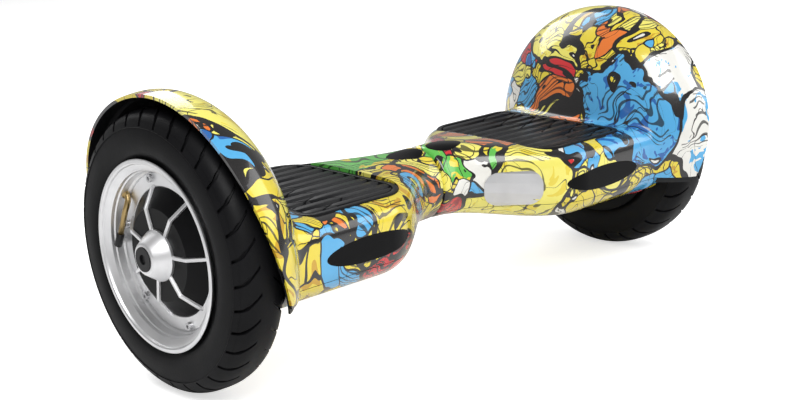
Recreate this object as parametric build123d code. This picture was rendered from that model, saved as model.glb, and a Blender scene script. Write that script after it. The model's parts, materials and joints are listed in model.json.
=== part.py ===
from build123d import *
import math
import os

# Self balancing hoverboard, millimetres.
# +X runs along the wheel axis to the right wheel, +Y to the rear, +Z up.
# The origin is on the floor, under the middle of the waist.

# ---- driving dimensions -------------------------------------------------------
TYRE_R = 127.0            # ten inch tyre, which also sets the height of the wheel axis
TYRE_HALF_W = 26.0
WHEEL_X = 292.0           # middle of each tyre
AXIS_Z = TYRE_R           # the wheels and the waist turn on one line

SEAM_GAP = 1.2            # between the two halves of the body
WAIST_R = 37.0
BODY_HALF_W = 106.0
BULGE_Z = 118.0           # height at which the body is widest
DECK_Z = 155.0
BELLY_Z = 73.0
FLARE_START = 10.0        # the waist swells into the deck between these two places
FLARE_END = 135.0
FLARE_STEPS = 6
SECTION_POINTS = 24
BODY_END = 258.0
WALL = 3.0
PARTING_Z = 98.0          # where the top shell meets the bottom shell
PARTING_GAP = 0.4

FENDER_R = 142.0
FENDER_DEPTH = 72.0       # from the crown in to the wall above the deck
FENDER_LIP_X = 309.5
FENDER_LIP_R = 136.5

LINER_T = 2.0
LINER_GAP = 0.3
LINER_END_X = 286.0
LINER_LOW_Z = 92.0

MAT_IN_X = 89.0
MAT_OUT_X = 214.0
MAT_HALF_W = 86.0
MAT_IN_CORNER = 34.0
MAT_OUT_CORNER = 14.0
MAT_T = 4.5
MAT_TOP_Z = 154.5
MAT_TRAVEL = 1.5
MAT_GAP = 0.4             # round the edge of the mat
TRAY_T = 2.5
BOSS_R = 4.6

TUBE_R = 17.5             # hollow pivot tube at the waist
TUBE_BORE_R = 14.0
TUBE_REACH = 76.0
BUSH_R = 20.5
BUSH_L = 14.0
SLEEVE_R = 25.0
SLEEVE_X = (12.0, 70.0)
RUNNING = 0.05            # radial clearance of a shaft that turns

PLATE_T = 5.0
PLATE_Z = 119.0
AXLE_R = 8.0
AXLE_X = (190.0, 319.0)
AXLE_FLAT = 6.8           # half height across the flats in the clamp
CLAMP_X = (192.0, 213.0)
CLAMP_HALF_W = 30.0
CLAMP_TOP_Z = 138.5
CLAMP_BOLT_IN = 5.2
CLAMP_BOLT_Y = 19.0
SADDLE_LOW_Z = 104.0

BOLT_R = 3.0
SCREW_R = 2.0
SCREW_HEAD_R = 3.8
HOLE_GAP = 0.05

# wheel, as distances along X and radii about the wheel axis
RIM_LIP_X = 319.2
RIM_LIP_R = 86.0
RIM_SEAT_R = 77.0
RIM_BACK_X = 268.5
FLANGE_X = (291.0, 297.0)
FLANGE_BORE_R = 61.0
MAGNET_R = (59.0, 62.5)
AIR_GAP = 0.8
BEARING_R = 16.0
BEARING_W = 9.0
COVER_T = 3.0
COVER_FACE_X = 312.0
COVER_FACE_R = 46.0
HUB_R = 23.0
HUB_TIP_R = 14.0
HUB_TIP_X = 328.0
RIBS = 7
RIB_W = 3.4
RIB_H = 2.2
COVER_SCREWS = 6
VALVE_TURN = -54.0

LENS_T = 1.8
LENS_GAP = 0.15
HEADLIGHT_X = 161.0
HEADLIGHT_LONG = 102.0
HEADLIGHT_HIGH = 23.0
LEDS = 7
STATUS_X = 26.5
STATUS_LONG = 43.0
STATUS_WIDE = 25.0
STATUS_LEAN = 12.0        # degrees towards the front

BADGE_X = 66.0
BADGE_LONG = 60.0
BADGE_HIGH = 36.0
BADGE_CORNER = 15.0
BADGE_T = 0.7

BATTERY = (72.0, 134.0, 36.0)
BATTERY_X = 154.0
BOARD_T = 1.6

BUTTON_X = 140.0
BUTTON_R = 8.0
BUTTON_TRAVEL = 1.0
PORT_X = 179.0
PORT_R = 11.0
PORT_BORE_R = 7.5
PORT_DEPTH = 11.0
FLAP_T = 2.4

WHEEL_AXIS = Axis((0, 0, AXIS_Z), (1, 0, 0))
WHEEL_PLANE = Plane(origin=(0, 0, AXIS_Z), x_dir=(1, 0, 0), z_dir=(0, -1, 0))
MAT_LOW_Z = MAT_TOP_Z - MAT_T
TRAY_TOP_Z = MAT_LOW_Z - MAT_TRAVEL - 0.3
TRAY_LOW_Z = TRAY_TOP_Z - TRAY_T
PLATE_TOP_Z = PLATE_Z + PLATE_T
HALF_SEAM = SEAM_GAP / 2
FAR = 400.0

SHELL_SCREW_PLACES = [(108.0, 50.0), (160.0, 80.0), (200.0, 79.0)]
SCREW_HEAD_Z = 108.0
SCREW_TOP_Z = 136.0
PLUNGER_PLACES = [(150.0, 44.0), (150.0, -44.0)]
PLUNGER_R = 7.0
PLUNGER_LOW_Z = 138.5


# ---- helpers --------------------------------------------------------------------
def turned(*outline):
    """A solid turned about the wheel axis from (x, radius) points."""
    return revolve(WHEEL_PLANE * make_face(Polyline(*outline, close=True)), WHEEL_AXIS)


def rod(x0, x1, radius, y=0.0, z=AXIS_Z):
    """A round bar along X."""
    return Pos((x0 + x1) / 2, y, z) * Rot(0, 90, 0) * Cylinder(radius, x1 - x0)


def post(x, y, z0, z1, radius):
    """A round bar along Z."""
    return Pos(x, y, (z0 + z1) / 2) * Cylinder(radius, z1 - z0)


def peg(x, z, y0, y1, radius):
    """A round bar along Y."""
    return Pos(x, (y0 + y1) / 2, z) * Rot(90, 0, 0) * Cylinder(radius, y1 - y0)


def block(x0, x1, y0, y1, z0, z1):
    return Pos((x0 + x1) / 2, (y0 + y1) / 2, (z0 + z1) / 2) * Box(x1 - x0, y1 - y0, z1 - z0)


def slab(z0, z1):
    """All space between two heights."""
    return block(-FAR, FAR, -FAR, FAR, z0, z1)


# ---- outer form of one half, drawn on the +X side --------------------------------
def flare(x):
    """0 at the waist, 1 where the deck has its full section."""
    s = min(max((x - FLARE_START) / (FLARE_END - FLARE_START), 0.0), 1.0)
    return s * s * (3 - 2 * s)


def half_width(x):
    return WAIST_R + (BODY_HALF_W - WAIST_R) * flare(x)


def section(x, inset):
    """Round at the waist, flat topped and bulging at the deck."""
    f = flare(x)
    middle = AXIS_Z + (BULGE_Z - AXIS_Z) * f
    top = AXIS_Z + WAIST_R + (DECK_Z - AXIS_Z - WAIST_R) * f
    bottom = AXIS_Z - WAIST_R + (BELLY_Z - AXIS_Z + WAIST_R) * f
    points = []
    for step in range(SECTION_POINTS):
        angle = 2 * math.pi * step / SECTION_POINTS
        c, s = math.cos(angle), math.sin(angle)
        power = 2 + (4 if s > 0 else 1.2) * f
        reach = (abs(c) ** power + abs(s) ** power) ** (-1 / power)
        height = (top - middle if s > 0 else middle - bottom) - inset
        points.append((x, (half_width(x) - inset) * reach * c, middle + height * reach * s))
    return make_face(Polyline(*points, close=True))


def body_form(inset):
    """The flaring waist and the straight deck as one solid, thinned by inset all round."""
    flares = [FLARE_START + (FLARE_END - FLARE_START) * k / FLARE_STEPS for k in range(1, FLARE_STEPS + 1)]
    waist = loft([section(x, inset) for x in [HALF_SEAM + inset] + flares], ruled=True)
    deck = extrude(section(FLARE_END, inset), amount=BODY_END - inset - FLARE_END, dir=(1, 0, 0))
    return waist + deck


def fender_form(inset, end_x):
    """The crowned drum over the wheel, thinned by inset and open at end_x."""
    deep, high = FENDER_DEPTH - inset, FENDER_R - inset
    dome = EllipticalCenterArc((WHEEL_X, 0), deep, high, start_angle=90, arc_size=90)
    lip = (end_x, FENDER_LIP_R - inset)
    middle_x = (WHEEL_X + end_x) / 2
    brow = ThreePointArc((WHEEL_X, high), (middle_x, high - 0.3 * (FENDER_R - FENDER_LIP_R)), lip)
    sides = Polyline(lip, (end_x, 0), (WHEEL_X - deep, 0))
    return revolve(WHEEL_PLANE * make_face(Curve() + [dome, brow, sides]), WHEEL_AXIS)


def lip_trim():
    """The space outboard of the fender's slanted edge, which recedes towards the floor."""
    low, high = AXIS_Z - FENDER_R, AXIS_Z + FENDER_R
    edge = ThreePointArc((270.0, PARTING_Z - 15), (299.0, 181.0), (FENDER_LIP_X, high + 5))
    rest = Polyline(edge @ 1, (FAR, high + 5), (FAR, low), (270.0, low), edge @ 0)
    outline = Plane.XZ * make_face(Curve() + [edge, rest])
    return extrude(outline, amount=FAR / 2, both=True)


def mat_outline(grow):
    """The foot mat seen from above, with large corners at the waist end."""
    x0, x1, y = MAT_IN_X - grow, MAT_OUT_X + grow, MAT_HALF_W + grow
    box = Polyline((x0, -y), (x1, -y), (x1, y), (x0, y), close=True)
    face = make_face(box)
    inner = [v for v in face.vertices() if v.X < (x0 + x1) / 2]
    face = fillet(inner, MAT_IN_CORNER + grow)
    outer = [v for v in face.vertices() if v.X > x1 - 1]
    return fillet(outer, MAT_OUT_CORNER + grow)


def mat_block(grow, z0, z1):
    return extrude(Pos(0, 0, z0) * mat_outline(grow), amount=z1 - z0)


def ellipse_prism(place, long, high, reach):
    """An elliptical bar on a plane, its axis along the plane's normal."""
    return extrude(place * Ellipse(long / 2, high / 2), amount=reach, both=True)


HEADLIGHT_PLACE = Plane(origin=(HEADLIGHT_X, -BODY_HALF_W, BULGE_Z), x_dir=(1, 0, 0), z_dir=(0, -1, 0))
LEAN = math.radians(STATUS_LEAN)
STATUS_NORMAL = (0, -math.sin(LEAN), math.cos(LEAN))
STATUS_PLACE = Plane(
    origin=(STATUS_X, -WAIST_R * math.sin(LEAN), AXIS_Z + WAIST_R * math.cos(LEAN)),
    x_dir=(1, 0, 0), z_dir=STATUS_NORMAL)

BODY_OUT = body_form(0)
BODY_IN = body_form(WALL)
BODY_LENS = body_form(LENS_T)
SKIN = BODY_OUT - BODY_LENS


# ---- body shells ------------------------------------------------------------------
def headlight_space(grow):
    return ellipse_prism(HEADLIGHT_PLACE, HEADLIGHT_LONG + 2 * grow, HEADLIGHT_HIGH + 2 * grow, 25)


def status_space(grow):
    return ellipse_prism(STATUS_PLACE, STATUS_LONG + 2 * grow, STATUS_WIDE + 2 * grow, 8)


def shell_screw_spots():
    return [(x, side * y) for x, y in SHELL_SCREW_PLACES for side in (-1, 1)]


def top_shell(control_side):
    outer = BODY_OUT + (fender_form(0, FENDER_LIP_X + 6) - lip_trim())
    shell = outer - BODY_IN - fender_form(WALL, FAR)
    shell &= slab(PARTING_Z + PARTING_GAP / 2, FAR)
    shell += mat_block(MAT_GAP + TRAY_T, TRAY_LOW_Z, DECK_Z + 10) & body_form(WALL / 2)
    shell -= mat_block(MAT_GAP, TRAY_TOP_Z, DECK_Z + 20)
    for x, y in shell_screw_spots():
        shell += post(x, y, PLATE_TOP_Z, TRAY_LOW_Z + 0.5, BOSS_R)
    for x, y in shell_screw_spots():
        shell -= post(x, y, PLATE_TOP_Z - 1, SCREW_TOP_Z + 1, SCREW_R + HOLE_GAP)
    for x, y in PLUNGER_PLACES:
        shell -= post(x, y, TRAY_LOW_Z - 1, TRAY_TOP_Z + 1, PLUNGER_R + MAT_GAP)
    shell -= rod(WHEEL_X - FENDER_DEPTH - 10, FAR, AXLE_R + 3)
    shell -= block(WHEEL_X - FENDER_DEPTH - 10, FAR, -AXLE_R - 3, AXLE_R + 3, 0, AXIS_Z)
    shell -= rod(0, 10, TUBE_R + 1)
    shell -= SKIN & headlight_space(LENS_GAP)
    shell -= SKIN & status_space(LENS_GAP)
    shell -= headlight_space(-3)
    if control_side:
        shell -= peg(BUTTON_X, BULGE_Z, 60, 120, BUTTON_R + 2.1)
        shell -= peg(PORT_X, BULGE_Z, 60, 120, PORT_R - 1.5)
    return shell.solids().sort_by(SortBy.VOLUME)[-1]


def bottom_shell():
    low = slab(0, PARTING_Z - PARTING_GAP / 2)
    shell = (BODY_OUT - BODY_IN) & low
    for x, y in shell_screw_spots():
        boss = (post(x, y, 0, PLATE_Z, 6.0) & BODY_OUT) - post(x, y, 0, SCREW_HEAD_Z, SCREW_HEAD_R + 0.4)
        shell += boss
        shell -= post(x, y, 0, SCREW_HEAD_Z, SCREW_HEAD_R + 0.4)
        shell -= post(x, y, 0, PLATE_Z + 1, SCREW_R + HOLE_GAP)
    shell -= rod(0, 10, TUBE_R + 1)
    shell -= headlight_space(LENS_GAP)
    return shell.solids().sort_by(SortBy.VOLUME)[-1]


def shell_screws():
    screws = []
    for x, y in shell_screw_spots():
        head = post(x, y, SCREW_HEAD_Z - 3, SCREW_HEAD_Z, SCREW_HEAD_R)
        shank = post(x, y, SCREW_HEAD_Z, SCREW_TOP_Z, SCREW_R)
        socket = post(x, y, SCREW_HEAD_Z - 3, SCREW_HEAD_Z - 1.2, 1.6)
        screws.append(head + shank - socket)
    return screws


def arch_liner():
    gap = WALL + LINER_GAP
    shell = fender_form(gap, LINER_END_X) - fender_form(gap + LINER_T, FAR)
    shell &= slab(LINER_LOW_Z, FAR)
    shell -= body_form(-0.5) & slab(0, PARTING_Z + PARTING_GAP)
    shell -= lip_trim()
    shell -= rod(200, FAR, AXLE_R + 3)
    return shell.solids().sort_by(SortBy.VOLUME)[-1]


# ---- frame, pivot and axle ----------------------------------------------------------
def chassis(bushed):
    bore = BUSH_R if bushed else TUBE_R
    x0, x1 = SLEEVE_X
    sleeve = rod(x0, x1, SLEEVE_R)
    edge = [(40, -20), (98, -62), (132, -91), (CLAMP_X[1], -91)]
    plate = make_face(Polyline(*edge, *[(x, -y) for x, y in reversed(edge)], close=True))
    body = sleeve + extrude(Pos(0, 0, PLATE_Z) * plate, amount=PLATE_T)
    for y in (-1, 1):
        web = Polyline((50, PLATE_Z - 14), (112, PLATE_Z - 6), (112, PLATE_Z + 1), (50, PLATE_Z + 1), close=True)
        body += Pos(0, y * 16, 0) * extrude(Plane.XZ * make_face(web), amount=2.5, both=True)
    body += block(*CLAMP_X, -CLAMP_HALF_W, CLAMP_HALF_W, SADDLE_LOW_Z, AXIS_Z)
    body -= rod(x0 - 1, x1 + 60, TUBE_BORE_R)
    if bushed:
        body -= rod(x0 - 1, x0 + BUSH_L, bore) + rod(x1 - BUSH_L, x1 + 1, bore)
        body -= rod(x0 + BUSH_L - 1, x1 + 60, TUBE_R + 0.5)
    else:
        body -= rod(x0 - 1, x1 + 60, bore)
    body -= rod(x1, TUBE_REACH + 4, SLEEVE_R + 0.5)
    body -= axle()
    for x, y in shell_screw_spots():
        body -= post(x, y, 0, FAR, SCREW_R + HOLE_GAP)
    for x, y in clamp_bolt_spots():
        body -= post(x, y, SADDLE_LOW_Z + 4, FAR, BOLT_R + HOLE_GAP)
    return body.solids().sort_by(SortBy.VOLUME)[-1]


def clamp_bolt_spots():
    ends = (CLAMP_X[0] + CLAMP_BOLT_IN, CLAMP_X[1] - CLAMP_BOLT_IN)
    return [(x, side * CLAMP_BOLT_Y) for x in ends for side in (-1, 1)]


def axle():
    bar = rod(*AXLE_X, AXLE_R)
    shoulder = rod(CLAMP_X[1] + 2.5, RIM_BACK_X - 6, AXLE_R + 1.6)
    flats = block(AXLE_X[0] - 1, CLAMP_X[1] + 0.2, -20, 20, AXIS_Z - AXLE_FLAT, AXIS_Z + AXLE_FLAT)
    rest = block(CLAMP_X[1] + 0.2, FAR, -20, 20, AXIS_Z - 20, AXIS_Z + 20)
    return (bar + shoulder) & (flats + rest)


def axle_clamp():
    body = block(*CLAMP_X, -CLAMP_HALF_W, CLAMP_HALF_W, AXIS_Z + 0.4, CLAMP_TOP_Z) - axle()
    for x, y in clamp_bolt_spots():
        body -= post(x, y, 0, FAR, BOLT_R + HOLE_GAP)
    return body


def clamp_bolts():
    bolts = []
    for x, y in clamp_bolt_spots():
        head = post(x, y, CLAMP_TOP_Z, CLAMP_TOP_Z + 5, 4.8) - post(x, y, CLAMP_TOP_Z + 2.5, FAR, 2.4)
        bolts.append(head + post(x, y, SADDLE_LOW_Z + 5, CLAMP_TOP_Z, BOLT_R))
    return bolts


def pivot_tube():
    """Held in the left frame, turning in two bushes of the right one."""
    flange_x = -SLEEVE_X[1]
    tube = rod(-TUBE_REACH, TUBE_REACH, TUBE_R) + rod(flange_x - 4, flange_x, SLEEVE_R)
    groove = rod(SLEEVE_X[1] + 0.3, SLEEVE_X[1] + 2.3, FAR / 4) - rod(0, FAR, TUBE_R - 1.2)
    return tube - rod(-FAR, FAR, TUBE_BORE_R) - groove


def retaining_ring():
    ring = rod(SLEEVE_X[1] + 0.3, SLEEVE_X[1] + 2.3, TUBE_R + 3.5) - rod(0, FAR, TUBE_R - 1.2)
    return ring - block(0, FAR, -1.5, 1.5, AXIS_Z, FAR)


def pivot_bushes():
    hole = rod(0, FAR, TUBE_R + RUNNING)
    x0, x1 = SLEEVE_X
    return [rod(x0, x0 + BUSH_L, BUSH_R) - hole, rod(x1 - BUSH_L, x1, BUSH_R) - hole]


def wire_harness():
    """Wires through the pivot tube, on its axis, with a plug at each end."""
    wires = rod(-TUBE_REACH - 6, TUBE_REACH + 6, 5.0)
    for side in (-1, 1):
        x = side * (TUBE_REACH + 12)
        wires += block(x - 8, x + 8, -8, 8, AXIS_Z - 5, AXIS_Z + 5)
    return wires


# ---- electronics ----------------------------------------------------------------
def battery_pack():
    long, wide, high = BATTERY
    pack = Pos(BATTERY_X, 0, PLATE_Z - 0.2 - high / 2) * Box(long, wide, high)
    return fillet(pack.edges().filter_by(Axis.Y), 8)


def mainboard():
    z = PLATE_Z - 10
    board = block(118, 188, -60, 60, z - BOARD_T, z)
    for x in (124, 182):
        for y in (-54, 54):
            board += post(x, y, z, PLATE_Z, 3)
    for k in range(5):
        board += post(130 + 12 * k, 38, z - BOARD_T - 14, z - BOARD_T, 5)
    board += block(128, 178, -45, 10, z - BOARD_T - 5, z - BOARD_T)
    return board


def gyro_board():
    """Level sensor board with a light gate under each plunger of the mat."""
    z = PLATE_TOP_Z + 5
    board = block(114, 184, -54, 54, z, z + BOARD_T)
    for x in (120, 178):
        for y in (-46, 46):
            board += post(x, y, PLATE_TOP_Z, z, 3)
    for x, y in PLUNGER_PLACES:
        board += block(x - 7, x + 7, y - 6, y + 6, z + BOARD_T, PLUNGER_LOW_Z - MAT_TRAVEL - 0.3)
    board += block(138, 162, -12, 12, z + BOARD_T, z + BOARD_T + 3)
    return board


def headlight_lens():
    return (SKIN & headlight_space(0)).solids().sort_by(SortBy.VOLUME)[-1]


def led_board():
    y = -BODY_HALF_W + WALL + 0.4
    x0, x1 = FLARE_END + 2, HEADLIGHT_X + HEADLIGHT_LONG / 2 - 10
    board = block(x0, x1, y + 1.2, y + 1.2 + BOARD_T, BULGE_Z - 4, BULGE_Z + 4)
    for k in range(LEDS):
        x = x0 + (k + 0.5) * (x1 - x0) / LEDS
        board += block(x - 1.7, x + 1.7, y + 0.2, y + 1.2, BULGE_Z - 2, BULGE_Z + 2)
    return board


def status_lens():
    return (SKIN & status_space(0)).solids().sort_by(SortBy.VOLUME)[-1]


def badge():
    """Plain plate with round ends on the front of the right half, by the waist."""
    slope = (half_width(BADGE_X + 1) - half_width(BADGE_X - 1)) / 2
    place = Plane(origin=(BADGE_X, -half_width(BADGE_X), BULGE_Z - 1), x_dir=(1, -slope, 0), z_dir=(-slope, -1, 0))
    plate = extrude(place * RectangleRounded(BADGE_LONG, BADGE_HIGH, BADGE_CORNER), amount=20, both=True)
    return ((body_form(-BADGE_T) - BODY_OUT) & plate).solids().sort_by(SortBy.VOLUME)[-1]


# ---- deck -----------------------------------------------------------------------
def foot_mat():
    return mat_block(0, MAT_LOW_Z, MAT_TOP_Z)


def sensor_plungers():
    return [post(x, y, PLUNGER_LOW_Z, MAT_LOW_Z, PLUNGER_R) for x, y in PLUNGER_PLACES]


# ---- controls on the rear of the left half, drawn on the +X side -------------------
def power_switch():
    """Housing that guides the button, with a collar on the outside of the shell."""
    width = half_width(BUTTON_X)
    face = width + 1.6
    housing = peg(BUTTON_X, BULGE_Z, width - 14, face, BUTTON_R + 2) + peg(
        BUTTON_X, BULGE_Z, width + 0.3, face, BUTTON_R + 4.5)
    return housing - peg(BUTTON_X, BULGE_Z, width - 12, face + 1, BUTTON_R + 0.3)


def power_button():
    width = half_width(BUTTON_X)
    cap = peg(BUTTON_X, BULGE_Z, width - 6, width + 2.8, BUTTON_R)
    stem = peg(BUTTON_X, BULGE_Z, width - 12 + BUTTON_TRAVEL + 0.3, width - 6, 2.5)
    return fillet(cap.edges().sort_by(Axis.Y)[-1], 1.0) + stem


def charge_port():
    face = BODY_HALF_W + 2.0
    body = peg(PORT_X, BULGE_Z, face - PORT_DEPTH - 4, face, PORT_R - 2)
    body += peg(PORT_X, BULGE_Z, BODY_HALF_W + 0.3, face, PORT_R + 2)
    body -= peg(PORT_X, BULGE_Z, face - PORT_DEPTH, face + 1, PORT_BORE_R)
    for k in range(3):
        angle = math.radians(90 + 120 * k)
        x, z = PORT_X + 3.6 * math.cos(angle), BULGE_Z + 3.6 * math.sin(angle)
        body += peg(x, z, face - PORT_DEPTH - 1, face - PORT_DEPTH + 4.5, 1.0)
    hinge_z = BULGE_Z + PORT_R + 4.5
    for side in (-1, 1):
        ear = block(PORT_X + side * 6.6 - 1.6, PORT_X + side * 6.6 + 1.6,
                    BODY_HALF_W + 0.3, face + FLAP_T + 0.6, BULGE_Z + PORT_R - 1, hinge_z + 2.6)
        ear -= rod(0, FAR, 1.3 + RUNNING, y=face + FLAP_T / 2 + 0.2, z=hinge_z)
        body += ear
    return body


def charge_flap():
    """Round cover on a hinge above the socket."""
    y = BODY_HALF_W + 2.0 + 0.2
    hinge_z = BULGE_Z + PORT_R + 4.5
    flap = peg(PORT_X, BULGE_Z, y, y + FLAP_T, PORT_R)
    flap += block(PORT_X - 4.5, PORT_X + 4.5, y, y + FLAP_T, BULGE_Z, hinge_z)
    flap += rod(PORT_X - 4.5, PORT_X + 4.5, FLAP_T / 2, y=y + FLAP_T / 2, z=hinge_z)
    return flap + rod(PORT_X - 8.2, PORT_X + 8.2, 1.15, y=y + FLAP_T / 2, z=hinge_z)


# ---- wheel ----------------------------------------------------------------------
def tyre():
    bead = RIM_SEAT_R
    half = TYRE_HALF_W
    outer = [(-half + 5, bead), (-half + 1.8, bead + 12), (-half, bead + 25), (-half + 2.2, TYRE_R - 13),
             (-half + 8, TYRE_R - 5.2), (-half + 16, TYRE_R - 1.4), (0, TYRE_R)]
    outer = outer + [(-x, r) for x, r in reversed(outer[:-1])]
    skin = Spline(*[(WHEEL_X + x, r) for x, r in outer])
    wall = 6.0
    inner = [(half - 5 - wall, bead), (half - wall, bead + 25), (half - 9, TYRE_R - 14), (0, TYRE_R - 9)]
    inner = inner + [(-x, r) for x, r in reversed(inner[:-1])]
    lining = Spline(*[(WHEEL_X + x, r) for x, r in inner])
    beads = [Line(skin @ 1, lining @ 0), Line(lining @ 1, skin @ 0)]
    return revolve(WHEEL_PLANE * make_face(Curve() + [skin, lining] + beads), WHEEL_AXIS)


def rim():
    lip, seat = RIM_LIP_R, RIM_SEAT_R
    back = 2 * WHEEL_X - RIM_LIP_X
    bed = TYRE_HALF_W - 4.8
    return turned(
        (RIM_BACK_X, MAGNET_R[1]), (RIM_BACK_X, seat - 4), (back, seat - 1), (back, lip), (back + 2, lip),
        (WHEEL_X - bed, seat - 0.05), (WHEEL_X + bed, seat - 0.05), (RIM_LIP_X - 2, lip), (RIM_LIP_X, lip),
        (RIM_LIP_X, lip - 4), (RIM_LIP_X - 6, seat - 2), (FLANGE_X[1] + 2, seat - 4), (FLANGE_X[1], seat - 5),
        (FLANGE_X[1], FLANGE_BORE_R), (FLANGE_X[0], FLANGE_BORE_R), (FLANGE_X[0], MAGNET_R[1]))


def cover_screw_spots():
    turns = [360 * k / COVER_SCREWS + 12 for k in range(COVER_SCREWS)]
    radius = FLANGE_BORE_R + 5.5
    return [(radius * math.cos(math.radians(t)), AXIS_Z + radius * math.sin(math.radians(t))) for t in turns]


def motor_cover():
    """Outer cover of the hub motor, with a bearing seat, a boss and raised ribs."""
    edge_r = FLANGE_BORE_R + 9.5
    x0 = FLANGE_X[1]
    face = COVER_FACE_X
    seat_x = face - COVER_T - BEARING_W
    plate = turned(
        (x0, edge_r), (x0 + COVER_T, edge_r), (x0 + COVER_T, FLANGE_BORE_R), (face, COVER_FACE_R), (face, HUB_R),
        (face + 3, HUB_R), (HUB_TIP_X, HUB_TIP_R), (HUB_TIP_X, 11.0), (face + 9, 11.0), (face + 9, 10.0),
        (face - COVER_T, 10.0), (face - COVER_T, BEARING_R), (seat_x, BEARING_R), (seat_x, BEARING_R + 3.5),
        (face - COVER_T, BEARING_R + 3.5), (face - COVER_T, COVER_FACE_R - 1.5), (x0, FLANGE_BORE_R - 2.5))
    rib_line = [(face - 1, HUB_R - 1), (face + RIB_H, HUB_R - 1), (face + RIB_H, COVER_FACE_R + 1.5),
                (x0 + COVER_T + RIB_H, FLANGE_BORE_R + 0.6), (x0 + COVER_T + 0.5, FLANGE_BORE_R + 1.2),
                (x0 + COVER_T - 1, FLANGE_BORE_R + 1.2), (x0 + COVER_T - 1, FLANGE_BORE_R - 0.5),
                (face - 1, COVER_FACE_R - 0.7)]
    rib = extrude(WHEEL_PLANE * make_face(Polyline(*rib_line, close=True)), amount=RIB_W / 2, both=True)
    for k in range(RIBS):
        plate += rib.rotate(WHEEL_AXIS, 360 * k / RIBS)
    for y, z in cover_screw_spots():
        plate -= rod(x0 - 1, x0 + COVER_T + 1, SCREW_R + HOLE_GAP, y, z)
    return plate


def back_cover():
    """Inner cover of the hub motor, with the second bearing seat."""
    x1 = RIM_BACK_X
    x0 = x1 - COVER_T
    seat = x0 + BEARING_W + 1.5
    return turned(
        (x0, AXLE_R + 2.5), (x0, MAGNET_R[1] + 8), (x1, MAGNET_R[1] + 8), (x1, BEARING_R + 3.5),
        (seat, BEARING_R + 3.5), (seat, BEARING_R), (x0 + 1.5, BEARING_R), (x0 + 1.5, AXLE_R + 2.5))


def bearings():
    races = []
    for x0 in (RIM_BACK_X - COVER_T + 1.5, COVER_FACE_X - COVER_T - BEARING_W):
        races.append(rod(x0, x0 + BEARING_W, BEARING_R) - rod(0, FAR, AXLE_R + RUNNING))
    return races


def magnet_ring():
    return rod(RIM_BACK_X + 1, FLANGE_X[0], MAGNET_R[1]) - rod(0, FAR, MAGNET_R[0])


def stator():
    """Laminated stator on its spider, fixed to the axle."""
    x0, x1 = RIM_BACK_X + BEARING_W + 1, FLANGE_X[0] - 1
    outer = MAGNET_R[0] - AIR_GAP
    core = rod(x0, x1, outer) - rod(0, FAR, AXLE_R)
    core -= rod(x0, x0 + 4, 40) - rod(0, FAR, 20)
    slot = block(x0 - 1, x1 + 1, -1.6, 1.6, AXIS_Z + 42, AXIS_Z + outer - 3)
    mouth = block(x0 - 1, x1 + 1, -0.8, 0.8, AXIS_Z + outer - 4, AXIS_Z + outer + 2)
    for k in range(27):
        core -= (slot + mouth).rotate(WHEEL_AXIS, 360 * k / 27)
    return core


def axle_cap():
    cap = rod(COVER_FACE_X + 9.2, HUB_TIP_X + 1, 10.9)
    return cap - rod(HUB_TIP_X - 1, FAR, 4.5)


def valve():
    """Bent brass stem from the rim bed, ending in a cap, and lying inside the rim."""
    r0, r1 = RIM_SEAT_R - 4.0, RIM_SEAT_R - 11
    x = FLANGE_X[1] + 11.5
    root = Pos(x, 0, AXIS_Z + (r0 + r1) / 2) * Cylinder(3.0, r0 - r1)
    elbow = Pos(x, 0, AXIS_Z + r1) * Sphere(3.4)
    stem = Pos(x, 10, AXIS_Z + r1 - 1.5) * Rot(97, 0, 0) * Cylinder(2.5, 20)
    cap = Pos(x, 24, AXIS_Z + r1 - 3.2) * Rot(97, 0, 0) * Cylinder(4.0, 11)
    return (root + elbow + stem + cap).rotate(WHEEL_AXIS, VALVE_TURN)


def cover_screws():
    x0 = FLANGE_X[1]
    screws = []
    for y, z in cover_screw_spots():
        head = rod(x0 + COVER_T, x0 + COVER_T + 3, 3.6, y, z) - rod(x0 + COVER_T + 1.4, FAR, 1.7, y, z)
        screws.append(head + rod(x0, x0 + COVER_T, SCREW_R, y, z))
    return screws


# ---- writing --------------------------------------------------------------------
def on_side(shape, side):
    """The +X drawing for the right half, its mirror image for the left."""
    solids = shape if isinstance(shape, list) else [shape]
    if side == "left":
        solids = [mirror(s, about=Plane.YZ) for s in solids]
    return solids


def write(node, solids):
    shape = solids[0] if len(solids) == 1 else Compound(children=[Solid(s.solids()[0].wrapped) for s in solids])
    export_step(shape, f"parts/{node}.step")


def main():
    os.makedirs("parts", exist_ok=True)
    pieces = {
        "bottom_shell": bottom_shell(), "shell_screws": shell_screws(), "arch_liner": arch_liner(),
        "axle": axle(), "axle_clamp": axle_clamp(), "clamp_bolts": clamp_bolts(), "gyro_board": gyro_board(),
        "headlight_lens": headlight_lens(), "led_board": led_board(), "status_lens": status_lens(),
        "foot_mat": foot_mat(), "sensor_plungers": sensor_plungers(), "tyre": tyre(), "rim": rim(),
        "motor_cover": motor_cover(), "back_cover": back_cover(), "bearings": bearings(),
        "magnet_ring": magnet_ring(), "stator": stator(), "axle_cap": axle_cap(), "valve": valve(),
        "cover_screws": cover_screws(),
    }
    for side in ("left", "right"):
        for name, shape in pieces.items():
            write(f"{side}_{name}", on_side(shape, side))
        write(f"{side}_top_shell", on_side(top_shell(side == "left"), side))
        write(f"{side}_chassis", on_side(chassis(side == "right"), side))
    for name, shape in {"power_switch": power_switch(), "power_button": power_button(),
                        "charge_port": charge_port(), "charge_flap": charge_flap(),
                        "mainboard": mainboard()}.items():
        write(name, on_side(shape, "left"))
    for name, shape in {"pivot_tube": pivot_tube(), "retaining_ring": retaining_ring(),
                        "pivot_bushes": pivot_bushes(), "wire_harness": wire_harness(),
                        "battery_pack": battery_pack(), "badge": badge()}.items():
        write(name, on_side(shape, "right"))


main()
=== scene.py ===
import json
import math
import bpy
from mathutils import Matrix, Vector


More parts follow.
